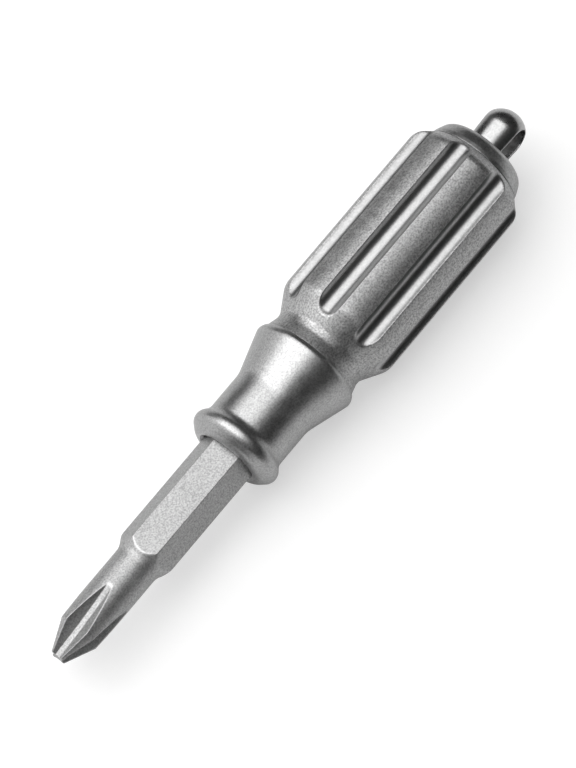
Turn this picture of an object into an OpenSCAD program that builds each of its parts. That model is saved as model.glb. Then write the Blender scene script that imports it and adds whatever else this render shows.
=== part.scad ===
// Pocket screwdriver with a plug-in bit, a fluted grip, a screw cap and a swivelling key-ring eye.
// Every piece is drawn along its own axis with the tip of the bit at height zero, then laid down
// along X with the tip at -X, so that the grip stands on the two edges of its lowest flute.

/* [Bit] */
// Width of the bit across its flats
bit_flats = 6.35; // [6:0.05:6.6]
// Length of the bit that stands out of the nose
bit_reach = 31.25; // [29:0.05:36]
// Length of the bit inside the nose
bit_shank = 18.75; // [18:0.05:20]
// Diameter of the round neck behind the tip
bit_neck_d = 5.65; // [5.2:0.05:6]
// Distance from the tip to the end of the neck
bit_neck_l = 14.75; // [13:0.05:16]
// Length over which the neck grows to the corners of the hexagon
bit_flare_l = 1.45; // [1:0.05:2.5]
// Distance from the inner end of the bit to the middle of its catch groove
bit_notch_back = 9.5; // [8.5:0.1:10.5]

/* [Cross tip] */
// Diameter of the flat on the tip
tip_flat_d = 2.15; // [1.9:0.05:2.4]
// Length of the cone from the tip to the neck
tip_cone_l = 3.85; // [3.4:0.05:4.6]
// Radius of the round sweep in which the bottom of a wing gap rises
wing_sweep_r = 50; // [40:1:60]
// Distance ahead of the tip at which that sweep runs level with the bit
wing_sweep_lead = 6; // [4:0.5:8]
// Height of the bottom of a wing gap over the axis at the tip
wing_gap_floor = 0.56; // [0.45:0.01:0.7]
// Width of the narrow flat at the bottom of a wing gap
wing_gap_flat = 0.66; // [0.4:0.02:0.8]
// Slope of the two sides of a wing gap from its middle plane
wing_gap_angle = 44.5; // [42:0.5:50]
// Turn of the wing gaps about the axis
wing_turn = 2.3; // [-5:0.1:5]

/* [Nose collar] */
// Turn of the hexagon about the axis, for the bit and its socket
hex_turn = 6.3; // [0:0.1:15]
// Diameter of the mouth of the socket, before it narrows to the hexagon
nose_mouth_d = 8.2; // [7.8:0.1:8.4]
// Diameter on which the front face turns into the bead, before it is rounded
nose_face_d = 9.5; // [9.2:0.1:10]
// Diameter of the bead at the front
bead_d = 12.1; // [11.8:0.1:12.6]
// Distance from the nose to the front of the bead's crest
bead_at = 1.3; // [1.1:0.05:1.5]
// Width of the bead's crest
bead_w = 0.95; // [0.7:0.05:1.2]
// Distance over which the bead falls to the waist
bead_fall = 0.95; // [0.8:0.05:1.2]
// Diameter of the straight waist
waist_d = 10.55; // [10.3:0.05:10.9]
// Distance from the nose to the end of the waist
waist_end = 8.8; // [8.2:0.1:9.2]
// Diameter of the shoulder behind the waist
shoulder_d = 14.1; // [13.6:0.1:14.6]
// Distance from the nose to the crest of the shoulder
shoulder_at = 14.6; // [14:0.1:14.8]
// Diameter of the groove between shoulder and grip
groove_d = 12.2; // [12:0.1:12.8]
// Distance from the nose to the foot of the shoulder
groove_at = 16.9; // [16.6:0.1:17.2]
// Distance from the nose to the seam, on the rear slope of the shoulder
seam_at = 15.3; // [15.2:0.1:15.6]
// Diameter of the collar's rear rim at the seam, before it is rounded
rim_d = 13.44; // [13.2:0.02:13.6]
// How far the collar stands proud of the grip at the seam
seam_step = 0.18; // [0.1:0.02:0.24]
// Diameter of the threaded spigot that holds the collar in the grip
collar_spigot_d = 9.9; // [9.7:0.1:10.1]
// Length of that spigot
collar_spigot_l = 7.7; // [7:0.1:8.5]

/* [Grip] */
// Diameter over the lands between the flutes
grip_d = 15.9; // [15:0.1:17]
// Distance from the nose to the foot of the front cone
grip_foot = 17.7; // [17.4:0.1:18]
// Distance from the nose to the front corner of the lands
grip_front = 20.9; // [20.4:0.1:21.4]
// Length over which the grip narrows behind the lands
grip_bevel_l = 1.5; // [1:0.05:2]
// Diameter of the rear face of the grip
grip_end_d = 12.7; // [12.4:0.1:13]
// Number of flutes
flute_count = 8; // [6:1:10]
// Width of a flute between the edges of its lands
flute_w = 2.92; // [2.4:0.02:3.2]
// Diameter on which the bottoms of the flutes lie
flute_floor_d = 13.6; // [13:0.05:14.2]
// Distance from the nose to the middle of the cutter's ball where a flute begins
flute_start = 19.8; // [19.6:0.1:20.4]

/* [Store] */
// Diameter of the store for the spare bit
store_d = 8.2; // [7.9:0.1:8.6]
// Length of the spare bit, which sets the length of the grip
spare_l = 25; // [22:0.5:50]
// Room between the spare bit and the stem of the eye
spare_room = 0.3; // [0.2:0.05:2]
// Length of the spare bit's round blade end
spare_neck_l = 11; // [9:0.1:13]
// Diameter of the spare bit's blade end, which is the width of the blade
spare_blade_w = 5.5; // [5:0.1:6]
// Thickness of the blade at its tip
spare_blade_t = 0.9; // [0.7:0.05:1.2]

/* [Magnet] */
// Diameter of the magnet
magnet_d = 6; // [5:0.1:6.2]
// Thickness of the magnet
magnet_t = 2; // [1.5:0.1:2]
// Thickness of the cup's floor behind the magnet
magnet_cup_floor = 0.45; // [0.4:0.05:0.6]
// Diameter of the cup that holds the magnet
magnet_cup_d = 7.56; // [7.5:0.02:7.6]

/* [End cap] */
// Diameter of the cap behind its front bevel
cap_d = 12.45; // [12:0.05:12.6]
// Diameter to which the cap narrows at its rear, before it is rounded
cap_rear_d = 10.9; // [10.6:0.1:11.6]
// Length over which the cap narrows behind the grip
cap_bevel_l = 0.6; // [0.4:0.05:0.9]
// Distance from the grip to the rear face of the cap
cap_head_l = 2.4; // [2.3:0.1:3]
// Thickness of the cap's rear wall
cap_wall = 1.3; // [1.1:0.05:1.5]
// Diameter of the cap's threaded spigot
cap_spigot_d = 10.4; // [10.2:0.1:10.6]
// Length of that spigot inside the grip
cap_spigot_l = 5.5; // [4.5:0.1:6]
// Thickness of the sealing ring's cord
seal_cord_d = 0.66; // [0.6:0.02:0.7]
// Distance from the rear face of the grip to the middle of the sealing ring
seal_back = 1; // [0.8:0.1:1.2]

/* [Key-ring eye] */
// Diameter of the eye
eye_d = 6; // [5.8:0.1:6.2]
// Diameter of the eye where it meets the cap
eye_foot_d = 5.8; // [5.4:0.1:5.8]
// Diameter of the hole for the key ring
eye_hole_d = 3.7; // [3.3:0.1:3.9]
// Distance from the cap to the middle of the hole, which is also that of the round end
eye_rise = 3.23; // [3.1:0.01:3.5]
// Diameter of the stem that turns in the cap
stem_d = 3; // [2.6:0.1:3.4]
// Diameter of the stem inside the clip's groove
stem_groove_d = 2.2; // [1.9:0.1:2.3]
// Outer diameter of the thrust washer
washer_d = 5.8; // [5:0.1:6.4]
// Thickness of the thrust washer
washer_t = 0.3; // [0.2:0.05:0.4]
// Outer diameter of the retaining clip
clip_d = 5.4; // [4.8:0.1:6]
// Thickness of the retaining clip
clip_t = 0.5; // [0.4:0.05:0.6]
// Width of the clip's mouth
clip_mouth = 1.9; // [1.6:0.1:2]
// Length of the stem in front of the clip
stem_tail = 0.35; // [0.2:0.05:0.6]

/* [Fits] */
// Gap between each flat of the bit and its socket
hex_gap = 0.06; // [0.04:0.01:0.1]
// Gap at a thread or a turning stem, on the radius
turn_gap = 0.05; // [0.03:0.01:0.08]
// Gap of a piece that is pressed or laid in, on the radius
press_gap = 0.02; // [0.01:0.01:0.04]
// Gap between faces that meet end to end
end_gap = 0.05; // [0.03:0.01:0.1]
// Diameter of the catch ring's wire
catch_wire_d = 0.7; // [0.6:0.05:0.75]

/* [Hidden] */
$fn = 96;
// Steps in each rounded corner of an outline
arc_steps = 6;
// How far a cut runs past the face that it opens
overrun = 1;

// Rounding of the corners, front to back
nose_face_round = 1.9;
bead_round = 1.4;
bead_foot_round = 1.5;
waist_round = 4;
shoulder_round = 0.9;
rim_round = 0.3;
groove_round = 1.5;
grip_front_round = 2.5;
grip_rear_round = 1.6;
cap_bevel_round = 0.15;
cap_rear_round = 1.7;
tip_corner_round = 0.3;
neck_round = 2;
flare_round = 0.5;
mouth_chamfer = 0.25;
end_chamfer = 0.5;

// Shape of the bit
hex_corner_d = bit_flats / cos(30);
bit_l = bit_reach + bit_shank;
bit_notch_r = 0.5;
bit_notch_floor_d = bit_flats;
wing_cut_depth = hex_corner_d;

// Places along the axis, measured from the tip
nose_z = bit_reach;
seam_z = nose_z + seam_at;
collar_end_z = seam_z + collar_spigot_l;
magnet_z = bit_l + end_gap;
cup_end_z = magnet_z + magnet_t + magnet_cup_floor;
store_z = cup_end_z + 2 * end_gap;
clip_z = store_z + spare_l + spare_room + stem_tail;
washer_z = clip_z + clip_t + end_gap;
cap_inner_z = washer_z + washer_t + end_gap;
cap_face_z = cap_inner_z + cap_wall;
grip_end_z = cap_face_z - cap_head_l;
grip_rear_z = grip_end_z - grip_bevel_l;
cap_spigot_z = grip_end_z - cap_spigot_l;
seal_z = grip_end_z - seal_back;
eye_z = cap_face_z + eye_rise;
eye_foot_z = cap_face_z + end_gap;
total_l = eye_z + eye_d / 2;

// Ends of the spare blade's even edge and of its slopes, along its neck
blade_edge_share = 0.15;
blade_slope_share = 0.7;

// Catch ring, drawn sprung open over the corners of the bit
catch_z = bit_l - bit_notch_back;
catch_r = hex_corner_d / 2 + turn_gap + catch_wire_d / 2;
catch_mouth_angle = 40;

// Sealing ring in its groove
seal_w = seal_cord_d + 2 * turn_gap;
seal_r = cap_spigot_d / 2 - seal_cord_d / 2 - press_gap;
seal_floor_r = seal_r - seal_cord_d / 2 - press_gap;
cap_bore_d = hex_corner_d + 4 * hex_gap;

// Flutes, cut by a round-nosed tool
flute_half_angle = asin(flute_w / grip_d);
flute_mouth_r = grip_d / 2 * cos(flute_half_angle);
flute_depth = flute_mouth_r - flute_floor_d / 2;
flute_tool_r = (pow(flute_w / 2, 2) + pow(flute_depth, 2)) / (2 * flute_depth);

function unit(v) = v / norm(v);

// The arc that rounds corner p between a and b, no larger than the two edges leave room for
function corner_arc(a, p, b, radius) =
    let (
        u = unit(a - p),
        v = unit(b - p),
        half = acos(u * v) / 2,
        reach = min(radius / tan(half), norm(a - p) / 2, norm(b - p) / 2),
        r = reach * tan(half),
        centre = p + unit(u + v) * r / sin(half),
        first = p + u * reach - centre,
        last = p + v * reach - centre,
        start = atan2(first.y, first.x),
        turn = atan2(first.x * last.y - first.y * last.x, first * last)
    )
    [for (i = [0 : arc_steps])
        centre + r * [cos(start + turn * i / arc_steps), sin(start + turn * i / arc_steps)]];

// The points of an outline from its corners, each given as [radius, distance, rounding]
function outline(corners) =
    [for (i = [0 : len(corners) - 1])
        let (p = [corners[i].x, corners[i].y])
        each corners[i].z == 0
            ? [p]
            : corner_arc([corners[i - 1].x, corners[i - 1].y], p,
                         [corners[i + 1].x, corners[i + 1].y], corners[i].z)];

module turned(corners) {
    rotate_extrude() polygon(outline(corners));
}

module hexagon(flats, height) {
    cylinder(d = flats / cos(30), h = height, $fn = 6);
}

// A ring of round wire, open by an angle on one side
module wire_ring(r, wire_d, mouth_angle) {
    rotate([0, 0, mouth_angle / 2]) rotate_extrude(angle = 360 - mouth_angle)
        translate([r, 0]) circle(d = wire_d);
}

// Lays the driver along X with the tip at -X, its lowest edges on the plane z = 0
module laid() {
    translate([-total_l / 2, 0, flute_mouth_r]) rotate([0, 90, 0]) children();
}

module wing_gap() {
    rise = wing_gap_floor + sqrt(pow(wing_sweep_r, 2) - pow(wing_sweep_lead, 2));
    flat = wing_gap_flat / 2;
    spread = flat + wing_cut_depth * tan(wing_gap_angle);
    translate([rise, 0, -wing_sweep_lead]) rotate([90, 0, 0]) rotate_extrude()
        polygon([[wing_sweep_r - wing_cut_depth, -spread], [wing_sweep_r, -flat],
                 [wing_sweep_r, flat], [wing_sweep_r - wing_cut_depth, spread]]);
}

module driver_bit() {
    // The hexagon is cut off by a turned shape that leaves arcs on the flats
    shank_r = hex_corner_d / 2 + mouth_chamfer;
    color([0.62, 0.62, 0.63]) laid() difference() {
        intersection() {
            turned([[0, 0, 0],
                    [tip_flat_d / 2, 0, 0],
                    [bit_neck_d / 2, tip_cone_l, tip_corner_round],
                    [bit_neck_d / 2, bit_neck_l, neck_round],
                    [hex_corner_d / 2, bit_neck_l + bit_flare_l, flare_round],
                    [shank_r, bit_neck_l + 2 * bit_flare_l, 0],
                    [shank_r, bit_l - end_chamfer, 0],
                    [shank_r - end_chamfer - mouth_chamfer, bit_l, 0],
                    [0, bit_l, 0]]);
            rotate([0, 0, hex_turn + 30]) hexagon(bit_flats, bit_l);
        }
        for (k = [0 : 3]) rotate([0, 0, wing_turn + 90 * k]) wing_gap();
        translate([0, 0, catch_z]) rotate_extrude()
            translate([bit_notch_floor_d / 2 + bit_notch_r, 0]) circle(r = bit_notch_r);
    }
}

module bit_catch_ring() {
    color("silver") laid() translate([0, 0, catch_z])
        wire_ring(catch_r, catch_wire_d, catch_mouth_angle);
}

module nose_collar() {
    socket = bit_flats + 2 * hex_gap;
    groove_half_w = catch_wire_d / 2 + turn_gap;
    color([0.68, 0.68, 0.69]) laid() difference() {
        translate([0, 0, nose_z]) turned([
            [0, 0, 0],
            [nose_face_d / 2, 0, nose_face_round],
            [bead_d / 2, bead_at, bead_round],
            [bead_d / 2, bead_at + bead_w, bead_round],
            [waist_d / 2, bead_at + bead_w + bead_fall, bead_foot_round],
            [waist_d / 2, waist_end, waist_round],
            [shoulder_d / 2, shoulder_at, shoulder_round],
            [rim_d / 2, seam_at, rim_round],
            [collar_spigot_d / 2, seam_at, 0],
            [collar_spigot_d / 2, seam_at + collar_spigot_l - end_chamfer, 0],
            [collar_spigot_d / 2 - end_chamfer, seam_at + collar_spigot_l, 0],
            [0, seam_at + collar_spigot_l, 0]]);
        // Hexagonal socket with a funnel mouth
        translate([0, 0, nose_z - overrun]) rotate([0, 0, hex_turn + 30])
            hexagon(socket, magnet_z - nose_z + overrun);
        translate([0, 0, nose_z - overrun])
            cylinder(r1 = nose_mouth_d / 2 + overrun, r2 = bit_flats / 2,
                     h = overrun + (nose_mouth_d - bit_flats) / 2);
        // Round seat of the magnet cup, open to the rear
        translate([0, 0, magnet_z])
            cylinder(d = magnet_cup_d + 2 * press_gap, h = collar_end_z - magnet_z + overrun);
        // Groove for the catch ring
        translate([0, 0, catch_z - groove_half_w])
            cylinder(r = catch_r + catch_wire_d / 2 + turn_gap, h = 2 * groove_half_w);
    }
}

module bit_magnet() {
    color([0.8, 0.8, 0.82]) laid() translate([0, 0, magnet_z])
        cylinder(d = magnet_d, h = magnet_t);
}

module magnet_cup() {
    color("darkgray") laid() translate([0, 0, magnet_z]) difference() {
        cylinder(d = magnet_cup_d, h = magnet_t + magnet_cup_floor);
        translate([0, 0, -overrun]) cylinder(d = magnet_d + 2 * press_gap, h = magnet_t + overrun);
    }
}

module grip() {
    front_z = collar_end_z + end_gap;
    color([0.66, 0.66, 0.67]) laid() difference() {
        turned([
            [0, seam_z, 0],
            [rim_d / 2 - seam_step, seam_z, 0],
            [groove_d / 2, nose_z + groove_at, groove_round],
            [groove_d / 2, nose_z + grip_foot, groove_round],
            [grip_d / 2, nose_z + grip_front, grip_front_round],
            [grip_d / 2, grip_rear_z, grip_rear_round],
            [grip_end_d / 2, grip_end_z, 0],
            [0, grip_end_z, 0]]);
        for (k = [0 : flute_count - 1]) rotate([0, 0, 360 * k / flute_count])
            translate([-flute_floor_d / 2 - flute_tool_r, 0, nose_z + flute_start]) {
                cylinder(r = flute_tool_r, h = grip_end_z - nose_z - flute_start + overrun);
                sphere(r = flute_tool_r);
            }
        // Threaded hole for the collar, store for the spare bit, threaded hole for the cap
        translate([0, 0, seam_z - overrun])
            cylinder(d = collar_spigot_d + 2 * turn_gap, h = front_z - seam_z + overrun);
        translate([0, 0, seam_z]) cylinder(d = store_d, h = grip_end_z - seam_z);
        translate([0, 0, cap_spigot_z - end_gap])
            cylinder(d = cap_spigot_d + 2 * turn_gap, h = cap_spigot_l + end_gap + overrun);
    }
}

module spare_bit() {
    // Side view of the blade: half its thickness against the distance from its edge
    blade_t = spare_blade_t / 2;
    blade_side = [[blade_t, 0], [blade_t, spare_neck_l * blade_edge_share],
                  [spare_blade_w / 2, spare_neck_l * blade_slope_share],
                  [hex_corner_d, spare_neck_l], [hex_corner_d, spare_l]];
    color([0.6, 0.6, 0.61]) laid() translate([0, 0, store_z]) intersection() {
        turned([[0, 0, 0],
                [spare_blade_w / 2, 0, 0],
                [spare_blade_w / 2, spare_neck_l, neck_round],
                [hex_corner_d / 2, spare_neck_l + bit_flare_l, flare_round],
                [hex_corner_d / 2, spare_l - end_chamfer, 0],
                [hex_corner_d / 2 - end_chamfer, spare_l, 0],
                [0, spare_l, 0]]);
        rotate([0, 0, hex_turn + 30]) hexagon(bit_flats, spare_l);
        rotate([90, 0, 0]) translate([0, 0, -bit_flats]) linear_extrude(2 * bit_flats)
            polygon(concat(blade_side, [for (i = [len(blade_side) - 1 : -1 : 0])
                [-blade_side[i].x, blade_side[i].y]]));
    }
}

module end_cap() {
    spigot_r = cap_spigot_d / 2;
    color([0.58, 0.58, 0.59]) laid() difference() {
        turned([[0, cap_spigot_z, 0],
                [spigot_r - end_chamfer, cap_spigot_z, 0],
                [spigot_r, cap_spigot_z + end_chamfer, 0],
                [spigot_r, grip_end_z + end_gap, 0],
                [grip_end_d / 2, grip_end_z + end_gap, 0],
                [cap_d / 2, grip_end_z + cap_bevel_l, cap_bevel_round],
                [cap_rear_d / 2, cap_face_z, cap_rear_round],
                [0, cap_face_z, 0]]);
        translate([0, 0, cap_spigot_z - overrun])
            cylinder(d = cap_bore_d, h = cap_inner_z - cap_spigot_z + overrun);
        cylinder(d = stem_d + 2 * turn_gap, h = cap_face_z + overrun);
        translate([0, 0, seal_z - seal_w / 2]) difference() {
            cylinder(r = spigot_r + overrun, h = seal_w);
            cylinder(r = seal_floor_r, h = seal_w);
        }
    }
}

module cap_seal_ring() {
    color([0.12, 0.12, 0.12]) laid() translate([0, 0, seal_z]) rotate_extrude()
        translate([seal_r, 0]) circle(d = seal_cord_d);
}

module key_ring_eye() {
    stem_z = clip_z - stem_tail;
    color([0.72, 0.72, 0.73]) laid() difference() {
        union() {
            translate([0, 0, eye_z]) sphere(d = eye_d);
            translate([0, 0, eye_foot_z])
                cylinder(d1 = eye_foot_d, d2 = eye_d, h = eye_z - eye_foot_z);
            translate([0, 0, stem_z]) cylinder(d = stem_d, h = eye_z - eye_hole_d / 2 - stem_z);
        }
        translate([0, eye_d, eye_z]) rotate([90, 0, 0]) cylinder(d = eye_hole_d, h = 2 * eye_d);
        translate([0, 0, clip_z - press_gap]) difference() {
            cylinder(d = stem_d + overrun, h = clip_t + 2 * press_gap);
            cylinder(d = stem_groove_d, h = clip_t + 2 * press_gap);
        }
    }
}

module eye_thrust_washer() {
    color("silver") laid() translate([0, 0, washer_z]) difference() {
        cylinder(d = washer_d, h = washer_t);
        translate([0, 0, -overrun])
            cylinder(d = stem_d + 2 * turn_gap, h = washer_t + 2 * overrun);
    }
}

module eye_retaining_clip() {
    color([0.3, 0.3, 0.32]) laid() translate([0, 0, clip_z]) difference() {
        cylinder(d = clip_d, h = clip_t);
        translate([0, 0, -overrun])
            cylinder(d = stem_groove_d + 2 * press_gap, h = clip_t + 2 * overrun);
        translate([0, -clip_mouth / 2, -overrun]) cube([clip_d, clip_mouth, clip_t + 2 * overrun]);
    }
}

driver_bit();
bit_catch_ring();
nose_collar();
bit_magnet();
magnet_cup();
grip();
spare_bit();
end_cap();
cap_seal_ring();
key_ring_eye();
eye_thrust_washer();
eye_retaining_clip();
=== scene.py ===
# A pocket screwdriver: bit, turned nose, fluted grip, screw cap and key-ring eye, all in steel.
# Lengths named here are in millimetres along the driver; meshes are in metres.
import math

import bmesh
import bpy
import numpy as np
from mathutils import Matrix, Vector


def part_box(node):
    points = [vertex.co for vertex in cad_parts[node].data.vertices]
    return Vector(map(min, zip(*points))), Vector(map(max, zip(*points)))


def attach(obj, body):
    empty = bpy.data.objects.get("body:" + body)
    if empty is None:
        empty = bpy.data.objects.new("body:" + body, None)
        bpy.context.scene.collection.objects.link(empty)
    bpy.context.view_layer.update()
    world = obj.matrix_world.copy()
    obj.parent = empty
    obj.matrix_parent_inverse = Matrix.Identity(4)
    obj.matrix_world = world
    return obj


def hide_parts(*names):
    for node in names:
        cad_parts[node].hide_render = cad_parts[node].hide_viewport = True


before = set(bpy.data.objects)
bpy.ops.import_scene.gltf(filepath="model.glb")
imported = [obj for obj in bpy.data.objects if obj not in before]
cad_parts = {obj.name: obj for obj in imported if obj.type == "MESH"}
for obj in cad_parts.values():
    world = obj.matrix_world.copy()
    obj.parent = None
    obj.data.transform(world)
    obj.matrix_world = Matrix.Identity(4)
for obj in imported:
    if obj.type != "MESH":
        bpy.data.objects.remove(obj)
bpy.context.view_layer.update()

# The view: a long lens looks down on the driver from in front and a little from the tip's side.
# The driver's axis rises to the right in the picture. The aim is the middle of the driver, moved
# by a fraction of a millimetre so that it lies where the photograph has it.
MM = 0.001
view_tilt = math.radians(15.5)
view_turn = math.radians(19.3)
view_slope = math.radians(49.79)
view_distance = 742 * MM
picture_height = 90.35 * MM
aim_right = -0.303 * MM
aim_up = -0.224 * MM

tip_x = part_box("driver_bit")[0][0]
axis_z = (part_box("driver_bit")[0][2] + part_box("driver_bit")[1][2]) / 2
eye_end_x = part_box("key_ring_eye")[1][0]
driver_middle = Vector(((tip_x + eye_end_x) / 2, 0, axis_z))

toward = Vector((-math.sin(view_tilt), -math.cos(view_tilt) * math.sin(view_turn),
                 math.cos(view_tilt) * math.cos(view_turn)))
along = (Vector((1, 0, 0)) - toward.x * toward).normalized()
across = toward.cross(along)
right = math.cos(view_slope) * along - math.sin(view_slope) * across
up = math.sin(view_slope) * along + math.cos(view_slope) * across

camera_data = bpy.data.cameras.new("camera")
camera_data.sensor_fit = "VERTICAL"
camera_data.sensor_height = 24
camera_data.lens = camera_data.sensor_height * view_distance / picture_height
camera_data.clip_start = 0.01
camera = bpy.data.objects.new("camera", camera_data)
bpy.context.scene.collection.objects.link(camera)
spot = driver_middle + aim_right * right + aim_up * up + view_distance * toward
camera.matrix_world = Matrix.Translation(spot) @ Matrix((right, up, toward)).transposed().to_4x4()
bpy.context.scene.camera = camera
bpy.context.scene.view_settings.view_transform = "Standard"


# The studio: a softbox above and behind the driver draws the bright band along it, a wide screen
# behind the tip's end lights the far side down to the horizon, and the near side stays dark.
lamp_distance = 0.5


def lamp(name, angle, shift, width, height, strength):
    """A panel that faces the driver, at an angle from straight up to the near side."""
    data = bpy.data.lights.new(name, "AREA")
    data.shape = "RECTANGLE"
    data.size = width
    data.size_y = height
    data.energy = strength * math.pi * width * height
    light = bpy.data.objects.new(name, data)
    bpy.context.scene.collection.objects.link(light)
    back = Vector((0, -math.sin(angle), math.cos(angle)))
    side = Vector((1, 0, 0))
    turn = Matrix((side, back.cross(side), back)).transposed().to_4x4()
    place = driver_middle + shift * side + lamp_distance * back
    light.matrix_world = Matrix.Translation(place) @ turn


lamp("softbox", math.radians(-15), shift=0.0, width=0.56, height=0.64, strength=2.6)
lamp("screen", math.radians(-40), shift=-0.58, width=1.12, height=1.18, strength=1.15)

world = bpy.data.worlds.new("room")
bpy.context.scene.world = world
world.use_nodes = True
tree = world.node_tree
tree.nodes.clear()
background = tree.nodes.new("ShaderNodeBackground")
room_grey = 0.02
background.inputs["Color"].default_value = (room_grey, room_grey, room_grey, 1)
output = tree.nodes.new("ShaderNodeOutputWorld")
tree.links.new(background.outputs[0], output.inputs["Surface"])

floor_mesh = bpy.data.meshes.new("floor")
floor_half = 3.0
floor_mesh.from_pydata([(-floor_half, -floor_half, 0), (floor_half, -floor_half, 0),
                        (floor_half, floor_half, 0), (-floor_half, floor_half, 0)], [],
                       [(0, 1, 2, 3)])
floor = bpy.data.objects.new("floor", floor_mesh)
bpy.context.scene.collection.objects.link(floor)
paper = bpy.data.materials.new("paper")
paper.use_nodes = True
tree = paper.node_tree
tree.nodes.clear()
output = tree.nodes.new("ShaderNodeOutputMaterial")
path = tree.nodes.new("ShaderNodeLightPath")
mirrored = tree.nodes.new("ShaderNodeMath")
mirrored.operation = "MAXIMUM"
tree.links.new(path.outputs["Is Glossy Ray"], mirrored.inputs[0])
tree.links.new(path.outputs["Is Transmission Ray"], mirrored.inputs[1])


def sheet(colour, glow):
    """Matt paper with a little light of its own."""
    matt = tree.nodes.new("ShaderNodeBsdfDiffuse")
    matt.inputs["Color"].default_value = (colour, colour, colour, 1)
    shine = tree.nodes.new("ShaderNodeEmission")
    shine.inputs["Strength"].default_value = glow
    both = tree.nodes.new("ShaderNodeAddShader")
    tree.links.new(matt.outputs[0], both.inputs[0])
    tree.links.new(shine.outputs[0], both.inputs[1])
    return both.outputs[0]


paper_grey = 0.78
to_metal = tree.nodes.new("ShaderNodeMixShader")
tree.links.new(mirrored.outputs[0], to_metal.inputs[0])
tree.links.new(sheet(paper_grey, glow=0), to_metal.inputs[1])
tree.links.new(sheet(paper_grey, glow=0.08), to_metal.inputs[2])
to_camera = tree.nodes.new("ShaderNodeMixShader")
tree.links.new(path.outputs["Is Camera Ray"], to_camera.inputs[0])
tree.links.new(to_metal.outputs[0], to_camera.inputs[1])
tree.links.new(sheet(0.5, glow=0.55), to_camera.inputs[2])
tree.links.new(to_camera.outputs[0], output.inputs["Surface"])
floor_mesh.materials.append(paper)


# The driver bit is a quarter-inch hexagon of tool steel. Its neck is turned round, its four wings
# are milled with a V cutter that climbs out along a large radius, and all of it is sand-blasted,
# which leaves a fine bright grain on the flats and thin polished edges.
def rounded(corners, steps=10):
    """The outline through (distance, radius, rounding) corners, as points."""
    points = []
    for i, (x, r, f) in enumerate(corners):
        here = Vector((x, r))
        if f == 0:
            points.append((x, r))
            continue
        a = Vector(corners[i - 1][:2]) - here
        b = Vector(corners[i + 1][:2]) - here
        half = a.angle(b) / 2
        reach = min(f / math.tan(half), a.length / 2, b.length / 2)
        size = reach * math.tan(half)
        middle = here + (a.normalized() + b.normalized()).normalized() * size / math.sin(half)
        first = here + a.normalized() * reach - middle
        last = here + b.normalized() * reach - middle
        start = math.atan2(first.y, first.x)
        turn = math.atan2(first.x * last.y - first.y * last.x, first.dot(last))
        for k in range(steps + 1):
            angle = start + turn * k / steps
            points.append((middle.x + size * math.cos(angle), middle.y + size * math.sin(angle)))
    return points


def closer(points, spans):
    """The same outline with more points where a span (from, to, step) asks for them."""
    out = [points[0]]
    for a, b in zip(points, points[1:]):
        step = max([0] + [s for x0, x1, s in spans if x0 <= (a[0] + b[0]) / 2 <= x1])
        n = max(1, math.ceil(math.dist(a, b) / step)) if step else 1
        out += [(a[0] + (b[0] - a[0]) * k / n, a[1] + (b[1] - a[1]) * k / n)
                for k in range(1, n + 1)]
    return out


def lathe(name, outline, angles, origin_x, shape=None):
    """Turns an outline about the driver's axis; shape gives each point's radius and wear."""
    x, r = np.array(outline).T
    x, psi = np.meshgrid(x, angles, indexing="ij")
    r = np.repeat(r[:, None], len(angles), axis=1)
    worn = np.zeros_like(r)
    if shape:
        r, worn = shape(x, r, psi)
    points = np.stack([origin_x + x * MM, -r * MM * np.sin(psi), axis_z + r * MM * np.cos(psi)], -1)
    rows, columns = x.shape
    index = np.arange(rows * columns).reshape(rows, columns)
    beside = np.roll(index, -1, axis=1)
    closed = outline[0][1] > 0
    last = rows if closed else rows - 1
    below = np.roll(index, -1, axis=0)
    below_beside = np.roll(beside, -1, axis=0)
    faces = np.stack([index, beside, below_beside, below], -1)[:last].reshape(-1, 4)
    mesh = bpy.data.meshes.new(name)
    mesh.from_pydata(points.reshape(-1, 3).tolist(), [], faces.tolist())
    wear = mesh.attributes.new("worn", "FLOAT", "POINT")
    wear.data.foreach_set("value", worn.ravel())
    work = bmesh.new()
    work.from_mesh(mesh)
    bmesh.ops.remove_doubles(work, verts=work.verts, dist=1e-7)
    bmesh.ops.recalc_face_normals(work, faces=work.faces)
    for face in work.faces:
        face.smooth = True
    work.to_mesh(mesh)
    work.free()
    piece = bpy.data.objects.new(name, mesh)
    bpy.context.scene.collection.objects.link(piece)
    return piece


def soft_min(a, b, width):
    """The lower of two, with their crossing rounded over a width."""
    h = np.clip(width - np.abs(a - b), 0, None) / width
    return np.minimum(a, b) - h * h * width / 4


def hexagon(psi, flats, turn):
    """Radius of a hexagon with one flat facing the angle turn."""
    sector = math.pi / 3
    off = (psi - turn + sector / 2) % sector - sector / 2
    return flats / 2 / np.cos(off)


bit_flats = 6.35
hex_turn = math.radians(6.3)
bit_corner = bit_flats / 2 / math.cos(math.pi / 6)
bit_length = 50.0
tip_radius = 1.075
tip_length = 3.85
neck_radius = 2.825
neck_end = 14.75
hex_start = 16.2
hex_full = 17.7
blank_radius = 4.1
chamfer = 0.5
catch_at = 40.5
catch_round = 0.5
wing_turn = math.radians(2.3)
wing_floor = 0.56
wing_sweep = 50.0
wing_lead = 6.0
wing_flat = 0.33
wing_slope = math.tan(math.radians(44.5))
wing_edge = 0.12
edge_round = 0.16
no_cut = 99.0

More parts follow.
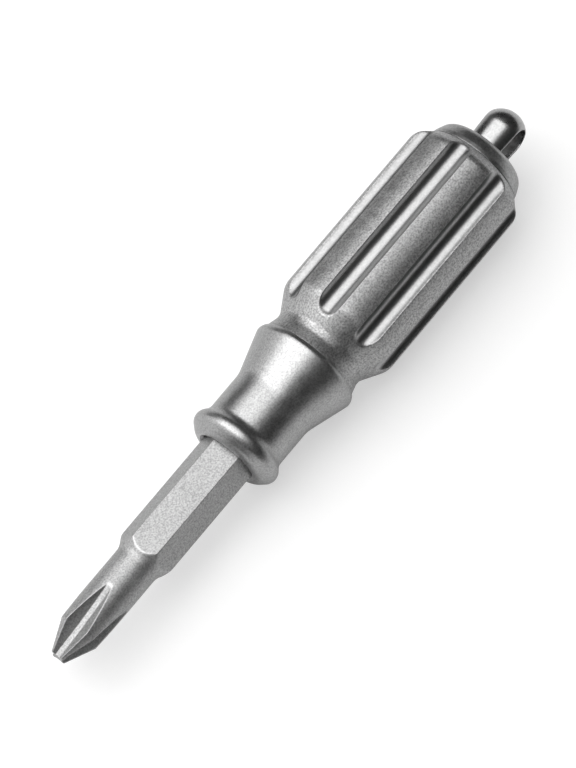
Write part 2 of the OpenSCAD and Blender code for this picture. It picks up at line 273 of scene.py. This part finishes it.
bit_outline = rounded([
    (0, 0, 0), (0, tip_radius, 0.1), (tip_length, neck_radius, 0.3), (neck_end, neck_radius, 2),
    (hex_start, bit_corner, 0.5), (hex_full, blank_radius, 0),
    (bit_length - chamfer, blank_radius, 0), (bit_length, 3.2, 0.1), (bit_length, 0, 0)])
bit_outline = closer(bit_outline, [(-0.1, 4.3, 0.07), (4.3, 11.2, 0.09), (11.2, 14, 0.5),
                                   (14, 17.6, 0.06), (17.6, 39.4, 1.2), (39.4, 41.6, 0.06),
                                   (41.6, 49, 1.2), (49, 50, 0.05)])


def bit_figure(x, r, psi):
    """The bit within its hexagon, its four wing cuts and its catch groove, and its worn edges."""
    sweep = wing_sweep ** 2 - (x + wing_lead) ** 2
    floor_rise = wing_floor + math.sqrt(wing_sweep ** 2 - wing_lead ** 2) - np.sqrt(
        np.clip(sweep, 0, None))
    off = np.abs((psi - wing_turn + math.pi / 4) % (math.pi / 2) - math.pi / 4)
    flank_down = wing_slope * np.cos(off) - np.sin(off)
    steep = 0.02
    flank = (wing_slope * floor_rise - wing_flat) / np.maximum(flank_down, steep)
    flank = np.where(flank_down > steep, flank, no_cut)
    gap = -soft_min(-floor_rise / np.cos(off), -flank, wing_edge)
    groove = np.full_like(x, no_cut)
    near = np.abs(x - catch_at) < catch_round
    depth = np.sqrt(np.clip(catch_round ** 2 - (x - catch_at) ** 2, 0, None))
    groove[near] = (bit_flats / 2 + catch_round - depth)[near]
    flats = hexagon(psi, bit_flats, hex_turn)
    sharp = np.minimum(np.minimum(r, flats), np.minimum(gap, groove))
    r = soft_min(soft_min(r, flats, edge_round), gap, edge_round)
    r = np.maximum(soft_min(r, groove, edge_round), 0)
    return r, np.clip((sharp - r) / (edge_round / 4), 0, 1)


bit_angles = hex_turn + math.radians(30) + np.linspace(0, 2 * math.pi, 360, endpoint=False)
driver_bit = lathe("driver_bit_dressed", bit_outline, bit_angles, tip_x, bit_figure)


def noise(tree, size, detail=2.0, roughness=0.5):
    """A cloud of bumps of a size in millimetres, fixed to the piece."""
    where = tree.nodes.new("ShaderNodeTexCoord")
    node = tree.nodes.new("ShaderNodeTexNoise")
    node.inputs["Scale"].default_value = 1 / (size * MM)
    node.inputs["Detail"].default_value = detail
    node.inputs["Roughness"].default_value = roughness
    tree.links.new(where.outputs["Object"], node.inputs["Vector"])
    return node.outputs["Fac"]


def remap(tree, value, before, after):
    """Turns one (low, high) range of a value into another."""
    node = tree.nodes.new("ShaderNodeMapRange")
    node.inputs["From Min"].default_value, node.inputs["From Max"].default_value = before
    node.inputs["To Min"].default_value, node.inputs["To Max"].default_value = after
    tree.links.new(value, node.inputs["Value"])
    return node.outputs[0]


def blend(tree, share, value, goal):
    """Moves a value to a goal number by a share."""
    node = tree.nodes.new("ShaderNodeMix")
    node.inputs["B"].default_value = goal
    tree.links.new(share, node.inputs["Factor"])
    tree.links.new(value, node.inputs["A"])
    return node.outputs["Result"]


def steel(name, colour, roughness, grain, grain_size, mottle, mottle_size, polish=None, gloss=0.5):
    """Blasted steel: a fine bump and grain, a broad mottle, and polish where an attribute asks."""
    blasted_bump = 0.35
    polished_bump = 0.15
    grain_lost = 0.75
    material = bpy.data.materials.new(name)
    material.use_nodes = True
    tree = material.node_tree
    shader = tree.nodes["Principled BSDF"]
    shader.inputs["Metallic"].default_value = 1.0
    fine = noise(tree, grain_size, detail=3)
    broad = noise(tree, mottle_size, detail=4, roughness=0.6)
    shade = remap(tree, broad, (0.3, 0.7), (colour * (1 - mottle), colour * (1 + mottle)))
    speck = remap(tree, fine, (0.35, 0.65), (1 - grain, 1 + grain))
    rough = remap(tree, broad, (0.3, 0.7), (roughness - 0.04, roughness + 0.05))
    bump = tree.nodes.new("ShaderNodeBump")
    bump.inputs["Strength"].default_value = blasted_bump
    bump.inputs["Distance"].default_value = 0.02 * MM
    tree.links.new(fine, bump.inputs["Height"])
    tree.links.new(bump.outputs[0], shader.inputs["Normal"])
    if polish:
        mark = tree.nodes.new("ShaderNodeAttribute")
        mark.attribute_name = polish
        level = mark.outputs["Fac"]
        rough = blend(tree, level, rough, roughness * gloss)
        speck = blend(tree, remap(tree, level, (0, 1), (0, grain_lost)), speck, 1.0)
        flatter = remap(tree, level, (0, 1), (blasted_bump, polished_bump))
        tree.links.new(flatter, bump.inputs["Strength"])
    tone = tree.nodes.new("ShaderNodeMath")
    tone.operation = "MULTIPLY"
    tree.links.new(shade, tone.inputs[0])
    tree.links.new(speck, tone.inputs[1])
    tree.links.new(tone.outputs[0], shader.inputs["Base Color"])
    tree.links.new(rough, shader.inputs["Roughness"])
    return material


bit_steel = steel("sand_blasted_bit_steel", 0.4, 0.54, 0.24, 0.2, 0.05, 2.5, "worn", 0.6)
driver_bit.data.materials.append(bit_steel)
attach(driver_bit, "bit")
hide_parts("driver_bit")

# The nose collar is turned from stainless bar, with a bead, a waist and a shoulder, then broached
# with a hexagon and bead-blasted. Its threaded spigot is locked into the grip, and the seam lies
# on the rear slope of the shoulder, where the collar stands a little proud.
nose_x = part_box("nose_collar")[0][0]
seam_at = (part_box("grip")[0][0] - nose_x) / MM
collar_length = (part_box("nose_collar")[1][0] - nose_x) / MM
socket_flats = bit_flats + 0.12
socket_depth = bit_length + 0.05 - (nose_x - tip_x) / MM
socket_corner = socket_flats / 2 / math.cos(math.pi / 6)
mouth_radius = 4.1
seat_radius = 3.8
nose_radius = 4.75
bead_radius = 6.05
bead_span = (1.3, 2.25)
waist_radius = 5.275
waist_span = (3.2, 8.8)
spigot_radius = 4.95
ring_at = catch_at - (nose_x - tip_x) / MM
ring_groove = (0.4, 4.47)
shoulder = (14.6, 7.05)
rim_radius = 6.72
funnel_end = mouth_radius - bit_flats / 2
collar_bore = [
    (collar_length, seat_radius), (socket_depth, seat_radius), (socket_depth - 0.02, socket_corner),
    (ring_at + ring_groove[0], socket_corner), (ring_at + ring_groove[0], ring_groove[1]),
    (ring_at - ring_groove[0], ring_groove[1]), (ring_at - ring_groove[0], socket_corner),
    (funnel_end, socket_corner), (mouth_radius - socket_corner, socket_corner),
    (0.04, mouth_radius - 0.04)]
collar_skin = rounded([
    (0, 0, 0), (0, nose_radius, 1.9), (bead_span[0], bead_radius, 1.4),
    (bead_span[1], bead_radius, 1.4), (waist_span[0], waist_radius, 1.5),
    (waist_span[1], waist_radius, 4), (*shoulder, 0.9), (seam_at, rim_radius, 0.3),
    (seam_at, spigot_radius, 0), (collar_length - chamfer, spigot_radius, 0),
    (collar_length, spigot_radius - chamfer, 0)])[1:]
collar_outline = closer(collar_bore + collar_skin,
                        [(-1, funnel_end, 0.05), (funnel_end, 15.2, 0.4)])


def collar_figure(x, r, psi):
    """The collar with its broached socket and the cone at the socket's mouth."""
    inside = r <= socket_corner + 0.001
    funnel = x < funnel_end + 0.01
    broached = hexagon(psi, socket_flats, hex_turn)
    cone = mouth_radius - x
    socket = np.where(funnel, -soft_min(-broached, -cone, 0.1), broached)
    deep = x > socket_depth - 0.01
    return np.where(inside & ~deep, np.minimum(socket, socket_corner), r), np.zeros_like(r)


collar_angles = hex_turn + math.radians(30) + np.linspace(0, 2 * math.pi, 240, endpoint=False)
nose_collar = lathe("nose_collar_dressed", collar_outline, collar_angles, nose_x, collar_figure)
collar_steel = steel("bead_blasted_steel", 0.38, 0.38, 0.2, 0.2, 0.06, 1.6)
nose_collar.data.materials.append(collar_steel)
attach(nose_collar, "handle")
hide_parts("nose_collar")

# The grip is a bored barrel with round flutes. A ball-nosed cutter runs from end to end, so each
# flute fades out on the front cone and on the rear bevel. The flutes are cut after the blasting
# of the bar and keep a smoother, brighter surface than the lands between them.
grip_radius = 7.95
flute_count = 8
flute_floor = 6.8
flute_half_width = 1.46
flute_depth = math.sqrt(grip_radius ** 2 - flute_half_width ** 2) - flute_floor
flute_tool = (flute_half_width ** 2 + flute_depth ** 2) / (2 * flute_depth)
flute_start = 19.8
grip_end = (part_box("grip")[1][0] - nose_x) / MM
groove_radius = 6.1
groove_span = (16.9, 17.7)
land_start = 20.9
bevel_length = 1.5
rear_radius = 6.35
cap_hole = 5.25
cap_hole_at = (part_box("end_cap")[0][0] - nose_x) / MM - 0.05
store_radius = 4.1
store_start = collar_length + 0.05
collar_hole = spigot_radius + 0.05
seam_step = 0.18
grip_outline = closer(rounded([
    (store_start, store_radius, 0), (store_start, collar_hole, 0), (seam_at, collar_hole, 0),
    (seam_at, rim_radius - seam_step, 0.03), (groove_span[0], groove_radius, 1.5),
    (groove_span[1], groove_radius, 1.5), (land_start, grip_radius, 2.5),
    (grip_end - bevel_length, grip_radius, 1.6), (grip_end, rear_radius, 0.1),
    (grip_end, cap_hole, 0.05), (cap_hole_at, cap_hole, 0), (cap_hole_at, store_radius, 0)]),
    [(15, 18.3, 0.3), (18.3, 23, 0.06), (23, 44, 2), (44, 47.2, 0.06)])
half_sector = math.pi / flute_count
flute_edge = math.asin(flute_half_width / grip_radius)
edge_from = flute_edge - 0.035
edge_to = flute_edge + 0.03
flute_angles = np.concatenate([
    np.linspace(a, b, steps, endpoint=False)
    for a, b, steps in ((-half_sector, -edge_to, 7), (-edge_to, -edge_from, 10),
                        (-edge_from, edge_from, 20), (edge_from, edge_to, 10),
                        (edge_to, half_sector, 7))])
grip_angles = np.concatenate([flute_angles + 2 * half_sector * k for k in range(flute_count)])
grip = lathe("grip_dressed", grip_outline, grip_angles, nose_x)


def new_tree(name, sizes):
    """A geometry tree with named number inputs, and a helper that adds its sums."""
    tree = bpy.data.node_groups.new(name, "GeometryNodeTree")
    tree.interface.new_socket("Geometry", in_out="INPUT", socket_type="NodeSocketGeometry")
    for size in sizes:
        tree.interface.new_socket(size, in_out="INPUT", socket_type="NodeSocketFloat")
    tree.interface.new_socket("Geometry", in_out="OUTPUT", socket_type="NodeSocketGeometry")
    entry = tree.nodes.new("NodeGroupInput")
    leave = tree.nodes.new("NodeGroupOutput")

    def add(operation, *values):
        node = tree.nodes.new("ShaderNodeMath")
        node.operation = operation
        for socket, value in zip(node.inputs, values):
            if isinstance(value, (int, float)):
                socket.default_value = value
            else:
                tree.links.new(value, socket)
        return node.outputs[0]

    return tree, entry, leave, add


def radius_rule(name, sizes, rule, mark):
    """A tree that gives each point a new distance from the driver's axis and keeps a mark."""
    tree, entry, leave, add = new_tree(name, sizes)
    position = tree.nodes.new("GeometryNodeInputPosition")
    split = tree.nodes.new("ShaderNodeSeparateXYZ")
    tree.links.new(position.outputs[0], split.inputs[0])
    height = add("SUBTRACT", split.outputs["Z"], axis_z)
    side = add("MULTIPLY", split.outputs["Y"], -1)
    radius = add("SQRT", add("ADD", add("MULTIPLY", height, height), add("MULTIPLY", side, side)))
    angle = add("ARCTAN2", side, height)
    new_radius, level = rule(add, entry.outputs, split.outputs["X"], radius, angle)
    share = add("DIVIDE", new_radius, add("MAXIMUM", radius, 1e-6))
    join = tree.nodes.new("ShaderNodeCombineXYZ")
    tree.links.new(split.outputs["X"], join.inputs["X"])
    tree.links.new(add("MULTIPLY", split.outputs["Y"], share), join.inputs["Y"])
    tree.links.new(add("ADD", add("MULTIPLY", height, share), axis_z), join.inputs["Z"])
    keep = tree.nodes.new("GeometryNodeStoreNamedAttribute")
    keep.data_type = "FLOAT"
    keep.domain = "POINT"
    keep.inputs["Name"].default_value = mark
    move = tree.nodes.new("GeometryNodeSetPosition")
    real = tree.nodes.new("GeometryNodeRealizeInstances")
    paint = tree.nodes.new("GeometryNodeSetMaterial")
    tree.links.new(entry.outputs["Geometry"], keep.inputs["Geometry"])
    tree.links.new(level, keep.inputs["Value"])
    tree.links.new(keep.outputs["Geometry"], move.inputs["Geometry"])
    tree.links.new(join.outputs[0], move.inputs["Position"])
    tree.links.new(move.outputs["Geometry"], real.inputs["Geometry"])
    tree.links.new(real.outputs["Geometry"], paint.inputs["Geometry"])
    tree.links.new(paint.outputs["Geometry"], leave.inputs["Geometry"])
    return tree, paint


def grow(piece, tree, paint, sizes, material):
    """Runs a tree on a piece and keeps the result as its plain mesh."""
    paint.inputs["Material"].default_value = material
    modifier = piece.modifiers.new(tree.name, "NODES")
    modifier.node_group = tree
    for item in tree.interface.items_tree:
        if item.in_out == "INPUT" and item.name in sizes:
            modifier[item.identifier] = sizes[item.name]
    graph = bpy.context.evaluated_depsgraph_get()
    mesh = bpy.data.meshes.new_from_object(piece.evaluated_get(graph), depsgraph=graph)
    piece.modifiers.clear()
    piece.data = mesh
    for polygon in mesh.polygons:
        polygon.use_smooth = True


def flute_rule(add, sizes, x, radius, angle):
    """A ball-nosed cut for each sector, with a soft edge, and how far a point lies in it."""
    sector = add("DIVIDE", 2 * math.pi, sizes["Count"])
    half = add("MULTIPLY", sector, 0.5)
    off = add("SUBTRACT", add("FLOORED_MODULO", add("ADD", angle, half), sector), half)
    middle = add("ADD", sizes["Floor"], sizes["Tool"])
    aside = add("MULTIPLY", middle, add("SINE", off))
    ahead = add("MAXIMUM", add("SUBTRACT", sizes["Start"], x), 0.0)
    away = add("ADD", add("MULTIPLY", aside, aside), add("MULTIPLY", ahead, ahead))
    inside = add("SUBTRACT", add("MULTIPLY", sizes["Tool"], sizes["Tool"]), away)
    cut = add("SUBTRACT", add("MULTIPLY", middle, add("COSINE", off)),
              add("SQRT", add("MAXIMUM", inside, 0.0)))
    cut = add("ADD", cut, add("LESS_THAN", inside, 0.0))
    new = add("SMOOTH_MIN", radius, cut, sizes["Edge"])
    depth = add("DIVIDE", add("SUBTRACT", radius, cut), sizes["Edge"])
    return new, add("MINIMUM", add("MAXIMUM", depth, 0.0), 1.0)


flute_tree, flute_paint = radius_rule(
    "flutes", ["Count", "Floor", "Tool", "Edge", "Start"], flute_rule, "milled")
land_steel = steel("bead_blasted_grip_steel", 0.38, 0.46, 0.34, 0.22, 0.07, 1.5, "milled", 0.7)
grow(grip, flute_tree, flute_paint,
     {"Count": float(flute_count), "Floor": flute_floor * MM, "Tool": flute_tool * MM,
      "Edge": 0.4 * MM, "Start": nose_x + flute_start * MM}, land_steel)
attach(grip, "handle")
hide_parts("grip")

# The end cap is a turned plug. A light bevel meets the grip, the rear edge is well rounded, and
# its hollow spigot carries the thread and the groove of the sealing ring.
cap_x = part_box("end_cap")[0][0]
cap_length = (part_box("end_cap")[1][0] - cap_x) / MM
spigot_length = (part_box("grip")[1][0] - cap_x) / MM + 0.05
seal_at = (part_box("cap_seal_ring")[0][0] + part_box("cap_seal_ring")[1][0]) / 2
seal_at = (seal_at - cap_x) / MM
thread_radius = 5.2
thread_depth = 0.5
cap_bore = 3.905
cap_wall = 1.3
cap_side = (0.55, 6.225)
cap_rear_radius = 5.45
stem_hole = 1.55
seal_seat = 4.51
seal_from = seal_at - 0.38
seal_to = seal_at + 0.38
cap_outline = closer(rounded([
    (0, cap_bore, 0.1), (0, thread_radius - chamfer, 0), (chamfer, thread_radius, 0.05),
    (seal_from, thread_radius, 0), (seal_from, seal_seat, 0), (seal_to, seal_seat, 0),
    (seal_to, thread_radius, 0), (spigot_length, thread_radius, 0),
    (spigot_length, rear_radius, 0.06), (spigot_length + cap_side[0], cap_side[1], 0.15),
    (cap_length, cap_rear_radius, 1.7), (cap_length, stem_hole, 0.05),
    (cap_length - cap_wall, stem_hole, 0), (cap_length - cap_wall, cap_bore, 0)]),
    [(0.45, 4.1, 0.05)])
cap_angles = np.linspace(0, 2 * math.pi, 192, endpoint=False)
end_cap = lathe("end_cap_dressed", cap_outline, cap_angles, cap_x)


def thread_rule(add, sizes, x, radius, angle):
    """A right-hand V thread that fades in and out at its ends."""
    turns = add("SUBTRACT", add("DIVIDE", x, sizes["Pitch"]), add("DIVIDE", angle, 2 * math.pi))
    wave = add("ABSOLUTE", add("SUBTRACT", add("FRACT", turns), 0.5))
    cut = add("MINIMUM", add("MULTIPLY", wave, 2.6), 1.0)
    lead_in = add("DIVIDE", add("SUBTRACT", x, sizes["Start"]), sizes["Pitch"])
    run_out = add("DIVIDE", add("SUBTRACT", sizes["End"], x), sizes["Pitch"])
    there = add("MINIMUM", add("MAXIMUM", add("MINIMUM", lead_in, run_out), 0.0), 1.0)
    outside = add("GREATER_THAN", radius, sizes["Inner"])
    cut = add("MULTIPLY", add("MULTIPLY", cut, there), outside)
    return add("SUBTRACT", radius, add("MULTIPLY", cut, sizes["Depth"])), cut


thread_tree, thread_paint = radius_rule(
    "thread", ["Pitch", "Depth", "Start", "End", "Inner"], thread_rule, "milled")
cap_steel = steel("bead_blasted_cap_steel", 0.36, 0.38, 0.22, 0.22, 0.08, 1.6, "milled", 0.8)
grow(end_cap, thread_tree, thread_paint,
     {"Pitch": 1.0 * MM, "Depth": thread_depth * MM, "Start": cap_x + 0.4 * MM,
      "End": cap_x + (seal_from - 0.2) * MM, "Inner": 4.6 * MM}, cap_steel)
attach(end_cap, "cap")
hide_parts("end_cap")

# The key-ring eye is one small turned stud with a milled opening, round at the end and straight
# down to the cap, where its solid has a plain round bore. It is tumbled until its edges are
# soft, and its stem turns in the cap behind a clip.
eye_low, eye_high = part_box("key_ring_eye")
clip_low, clip_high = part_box("eye_retaining_clip")
cap_face_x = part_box("end_cap")[1][0]
eye_radius = 3.0
eye_middle_x = eye_high.x - eye_radius * MM
foot_edge = 0.15 * MM
opening_corner = 0.6 * MM
stem_overlap = 0.2 * MM
clip_half = 0.27 * MM
clip_seat = 1.1 * MM


def eye_rule(add, sizes, x, side, height):
    """How far a point lies outside the eye: its dome, its opening and its grooved stem."""
    radius = add("SQRT", add("ADD", add("MULTIPLY", side, side), add("MULTIPLY", height, height)))
    grown = add("DIVIDE", add("SUBTRACT", x, sizes["Foot"]),
                add("SUBTRACT", sizes["Dome"], sizes["Foot"]))
    grown = add("MINIMUM", grown, 1.0)
    girth = add("ADD", sizes["Foot radius"],
                add("MULTIPLY", grown, add("SUBTRACT", sizes["Radius"], sizes["Foot radius"])))
    past = add("MAXIMUM", add("SUBTRACT", x, sizes["Dome"]), 0.0)
    round_end = add("SQRT", add("ADD", add("MULTIPLY", radius, radius),
                                add("MULTIPLY", past, past)))
    body = add("SMOOTH_MAX", add("SUBTRACT", round_end, girth),
               add("SUBTRACT", sizes["Foot"], x), foot_edge)
    along = add("SUBTRACT", x, sizes["Hole"])
    along = add("MAXIMUM", along, 0.0)
    hole = add("SQRT", add("ADD", add("MULTIPLY", along, along),
                           add("MULTIPLY", height, height)))
    hole = add("SMOOTH_MIN", add("SUBTRACT", sizes["Hole radius"], hole),
               add("SUBTRACT", x, sizes["Floor"]), opening_corner)
    body = add("SMOOTH_MAX", body, hole, sizes["Edge"])
    stem = add("MAXIMUM", add("SUBTRACT", radius, sizes["Stem radius"]),
               add("SUBTRACT", sizes["Stem"], x))
    stem = add("MAXIMUM", stem, add("SUBTRACT", x, add("ADD", sizes["Foot"], stem_overlap)))
    beside = add("SUBTRACT", add("ABSOLUTE", add("SUBTRACT", x, sizes["Clip"])), clip_half)
    clip_groove = add("MAXIMUM", beside, add("SUBTRACT", clip_seat, radius))
    stem = add("MAXIMUM", stem, add("MULTIPLY", clip_groove, -1.0))
    return add("MINIMUM", body, stem)


eye_sizes = {"Radius": eye_radius * MM, "Dome": eye_middle_x,
             "Foot": cap_face_x + 0.05 * MM, "Foot radius": 2.9 * MM,
             "Floor": cap_face_x + 0.55 * MM, "Hole": eye_middle_x, "Hole radius": 1.85 * MM,
             "Stem": eye_low.x, "Stem radius": 1.5 * MM, "Clip": (clip_low.x + clip_high.x) / 2,
             "Edge": 0.22 * MM}
eye_tree, entry, leave, add = new_tree("eye", list(eye_sizes))
position = eye_tree.nodes.new("GeometryNodeInputPosition")
split = eye_tree.nodes.new("ShaderNodeSeparateXYZ")
eye_tree.links.new(position.outputs[0], split.inputs[0])
distance = eye_rule(add, entry.outputs, split.outputs["X"], split.outputs["Y"],
                    add("SUBTRACT", split.outputs["Z"], axis_z))
block = eye_tree.nodes.new("GeometryNodeVolumeCube")
eye_tree.links.new(add("MULTIPLY", distance, -1000.0), block.inputs["Density"])
margin = 0.3 * MM
cell = 0.08 * MM
block_low = eye_low - Vector((margin, margin, margin))
block_high = eye_high + Vector((margin, margin, margin))
block.inputs["Min"].default_value = block_low
block.inputs["Max"].default_value = block_high
block.inputs["Background"].default_value = -1.0
for axis in range(3):
    steps = math.ceil((block_high[axis] - block_low[axis]) / cell)
    block.inputs["Resolution " + "XYZ"[axis]].default_value = steps
skin = eye_tree.nodes.new("GeometryNodeVolumeToMesh")
skin.inputs["Threshold"].default_value = 0.0
real = eye_tree.nodes.new("GeometryNodeRealizeInstances")
eye_paint = eye_tree.nodes.new("GeometryNodeSetMaterial")
eye_tree.links.new(block.outputs[0], skin.inputs[0])
eye_tree.links.new(skin.outputs[0], real.inputs["Geometry"])
eye_tree.links.new(real.outputs["Geometry"], eye_paint.inputs["Geometry"])
eye_tree.links.new(eye_paint.outputs["Geometry"], leave.inputs["Geometry"])
key_ring_eye = bpy.data.objects.new("key_ring_eye_dressed", bpy.data.meshes.new("eye"))
bpy.context.scene.collection.objects.link(key_ring_eye)
eye_steel = steel("tumbled_eye_steel", 0.4, 0.28, 0.1, 0.25, 0.08, 1.8)
grow(key_ring_eye, eye_tree, eye_paint, eye_sizes, eye_steel)
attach(key_ring_eye, "eye")
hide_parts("key_ring_eye")


# The small pieces inside keep their solids: the spare bit in its store, the magnet in its cup,
# the catch ring, the washer and the clip. Each gets the finish of its own metal, and the sealing
# ring gets black rubber.
def dress(node, material):
    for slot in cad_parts[node].material_slots:
        slot.material = material


spring_steel = steel("spring_steel", 0.42, 0.28, 0.02, 0.3, 0.04, 1.5)
plating = steel("nickel_plating", 0.72, 0.14, 0.01, 0.3, 0.02, 2.0)
dress("spare_bit", bit_steel)
dress("bit_catch_ring", spring_steel)
dress("eye_thrust_washer", spring_steel)
dress("eye_retaining_clip", spring_steel)
dress("bit_magnet", plating)
dress("magnet_cup", eye_steel)

rubber = bpy.data.materials.new("seal_rubber")
rubber.use_nodes = True
tree = rubber.node_tree
shader = tree.nodes["Principled BSDF"]
shader.inputs["Roughness"].default_value = 0.5
tint = remap(tree, noise(tree, 0.25), (0, 1), (0.012, 0.03))
tree.links.new(tint, shader.inputs["Base Color"])
dress("cap_seal_ring", rubber)
